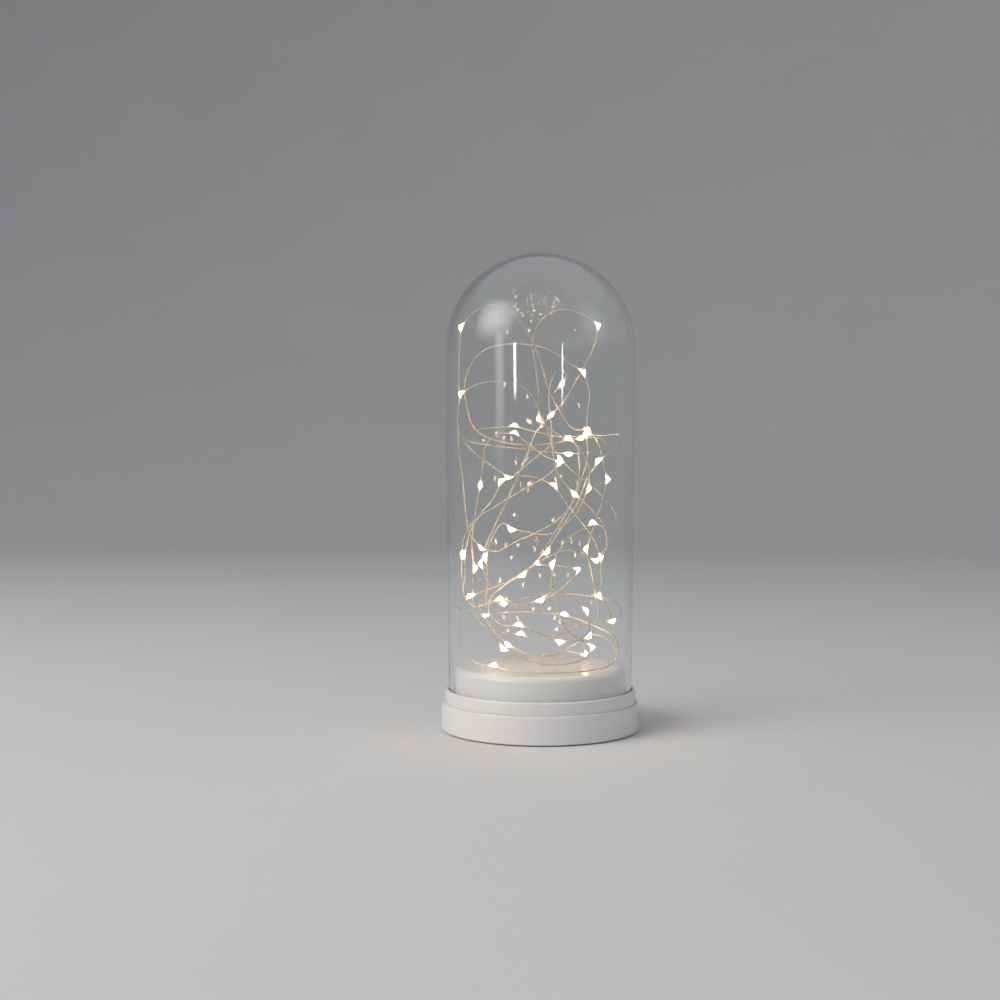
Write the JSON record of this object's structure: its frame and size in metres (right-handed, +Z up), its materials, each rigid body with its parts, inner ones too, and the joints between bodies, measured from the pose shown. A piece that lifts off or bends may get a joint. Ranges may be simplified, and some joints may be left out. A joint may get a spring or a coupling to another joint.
{
  "type": "glass dome led light",
  "caption": "Battery lit glass cloche: a clear dome over a tangled wire string of small drop lights, standing in the groove of a round two-part plastic base.",
  "frame": {"origin": "centre of the rest plane under the base", "axes": "+Z up along the dome's axis, front at -Y"},
  "size_m": [0.1, 0.1, 0.2394],
  "materials": {
    "glass": "clear blown glass",
    "white_plastic": "glossy soft white moulding",
    "cell_sleeve": "plain printed sleeve",
    "spring_steel": "nickel plated",
    "black_plastic": "matte",
    "circuit_board": "lacquered board",
    "rubber": "soft grey",
    "red_lead": "insulated lead",
    "screw_steel": "zinc plated",
    "string_wire": "lacquered champagne wire with warm lights"
  },
  "bodies": {
    "base": {"plinth_housing": "white_plastic", "base_housing": "white_plastic", "battery_1": "cell_sleeve", "battery_2": "cell_sleeve", "battery_3": "cell_sleeve", "contact_spring_1": "spring_steel", "contact_spring_2": "spring_steel", "contact_spring_3": "spring_steel", "contact_negative": "spring_steel", "contact_bridge_back": "spring_steel", "contact_bridge_front": "spring_steel", "contact_positive": "spring_steel", "switch_body": "black_plastic", "circuit_board": "circuit_board", "timer_chip": "black_plastic", "capacitor": "cell_sleeve", "wire_grommet": "rubber", "string_lead": "rubber", "lead_negative": "black_plastic", "lead_positive": "red_lead", "housing_screw_1": "screw_steel", "housing_screw_2": "screw_steel", "housing_screw_3": "screw_steel", "housing_screw_4": "screw_steel", "foot_1": "rubber", "foot_2": "rubber", "foot_3": "rubber", "foot_4": "rubber", "light_string": "string_wire"},
    "dome": {"glass_dome": "glass"},
    "door": {"battery_door": "white_plastic"},
    "switch": {"switch_slider": "black_plastic"}
  },
  "joints": [
    {"name": "dome_lift", "type": "slide", "parent": "base", "child": "dome", "axis": [0, 0, 1], "range_m": [0, 0.205]},
    {"name": "battery_door_hinge", "type": "hinge", "parent": "base", "child": "door", "pos_m": [0, 0.02765, 0.0032], "axis": [1, 0, 0], "range_deg": [0, 80]},
    {"name": "switch_slide", "type": "slide", "parent": "base", "child": "switch", "axis": [0, 1, 0], "range_m": [0, 0.004]}
  ]
}
